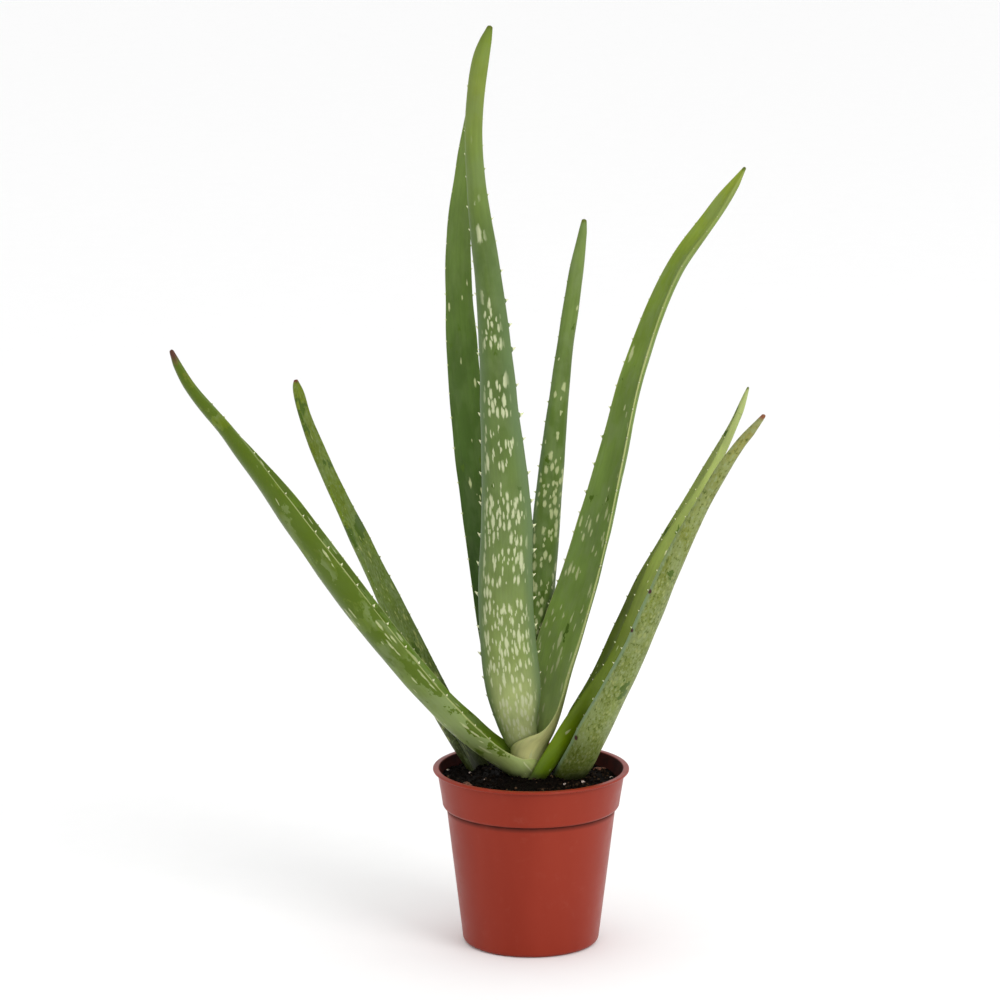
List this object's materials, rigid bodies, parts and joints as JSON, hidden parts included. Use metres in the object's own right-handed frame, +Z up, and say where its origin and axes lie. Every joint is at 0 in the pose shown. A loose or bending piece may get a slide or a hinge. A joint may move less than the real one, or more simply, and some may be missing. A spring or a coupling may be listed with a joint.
{
  "type": "potted aloe plant",
  "caption": "Young aloe with toothed, spotted succulent leaves in a round tapered nursery pot filled with potting mix.",
  "frame": {"origin": "centre of the pot's flat foot, on the surface that the pot stands on", "axes": "+Z up along the pot's axis, +X to the right and +Y away from the side that shows the tallest leaf's convex back"},
  "size_m": [0.3084, 0.1364, 0.4971],
  "materials": {
    "pot_plastic": "satin",
    "leaf": "satin",
    "stem": "matte",
    "potting_mix": "matte",
    "perlite": "matte",
    "bark": "matte"
  },
  "bodies": {
    "root": {"pot": "pot_plastic", "stem": "stem", "leaf_inner_slim": "leaf", "leaf_back_tall": "leaf", "leaf_front_tall": "leaf", "leaf_right_tall": "leaf", "leaf_left_front": "leaf", "leaf_right_rear": "leaf", "leaf_left_rear": "leaf", "leaf_right_front": "leaf", "perlite_1": "perlite", "perlite_2": "perlite", "perlite_3": "perlite", "perlite_4": "perlite", "perlite_5": "perlite", "perlite_6": "perlite", "perlite_7": "perlite", "bark_chip_1": "bark", "bark_chip_2": "bark", "bark_chip_3": "bark", "bark_chip_4": "bark", "potting_mix": "potting_mix"}
  },
  "joints": []
}
